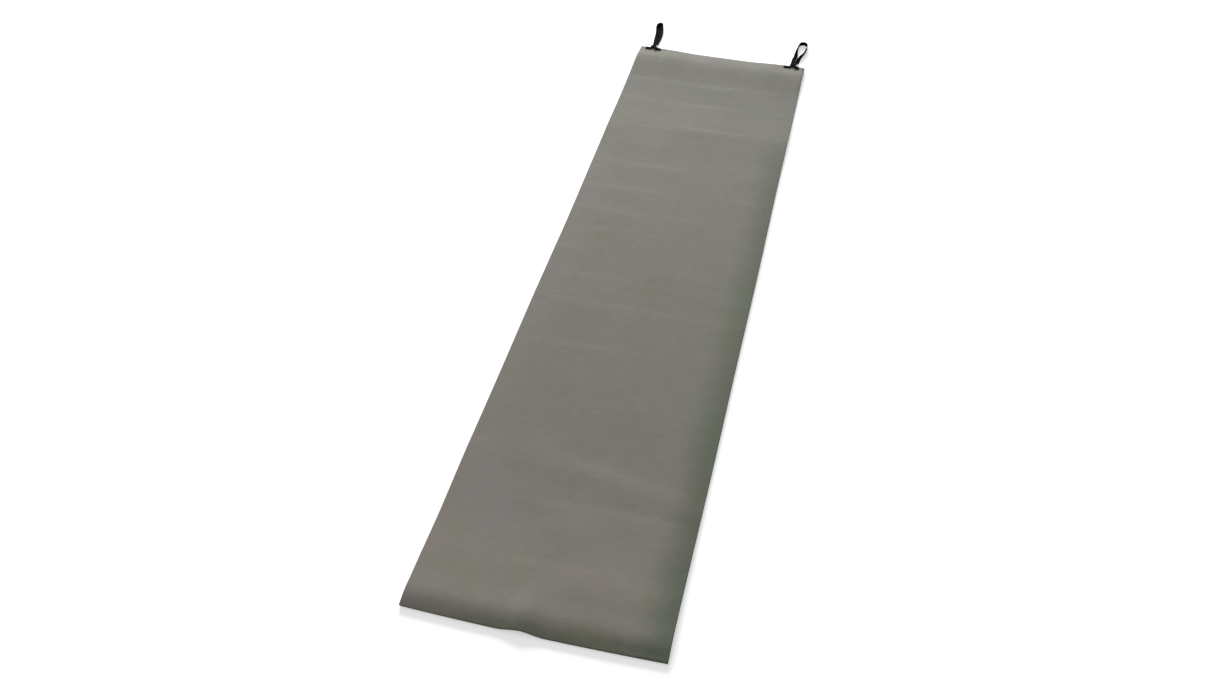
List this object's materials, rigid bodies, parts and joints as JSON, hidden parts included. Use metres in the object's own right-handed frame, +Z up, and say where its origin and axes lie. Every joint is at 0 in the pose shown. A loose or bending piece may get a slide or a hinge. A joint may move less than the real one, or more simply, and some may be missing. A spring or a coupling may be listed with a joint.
{
  "type": "sleeping mat",
  "caption": "Closed-cell foam sleeping mat lying unrolled, with sewn elastic loops at one end that hold it when it is rolled.",
  "frame": {"origin": "on the floor, under the middle of the unrolled sheet", "axes": "+Z up from the floor, +Y along the sheet towards the end with the elastic loops, +X across it to the right"},
  "size_m": [0.5, 1.9386, 0.0171],
  "materials": {
    "foam": "matt closed-cell polyethylene foam, warm grey, with a fine skin of cut cells",
    "elastic": "black woven elastic webbing",
    "thread": "black sewing thread in dense bar tacks"
  },
  "bodies": {
    "mat": {"foam_sheet": "foam", "left_elastic_lower_end": "elastic", "left_elastic_upper_end": "elastic", "left_lower_end_tack": "thread", "left_upper_end_tack": "thread", "left_throat_tack": "thread", "right_elastic_lower_end": "elastic", "right_elastic_upper_end": "elastic", "right_lower_end_tack": "thread", "right_upper_end_tack": "thread", "right_throat_tack": "thread"},
    "left_loop": {"left_elastic_loop": "elastic"},
    "right_loop": {"right_elastic_loop": "elastic"}
  },
  "joints": [
    {"name": "left_loop_swing", "type": "hinge", "parent": "mat", "child": "left_loop", "pos_m": [-0.2105, 0.9, 0.01745], "axis": [1, 0, 0], "range_deg": [0, 175]},
    {"name": "right_loop_swing", "type": "hinge", "parent": "mat", "child": "right_loop", "pos_m": [0.2105, 0.9, 0.01745], "axis": [1, 0, 0], "range_deg": [0, 175]}
  ]
}
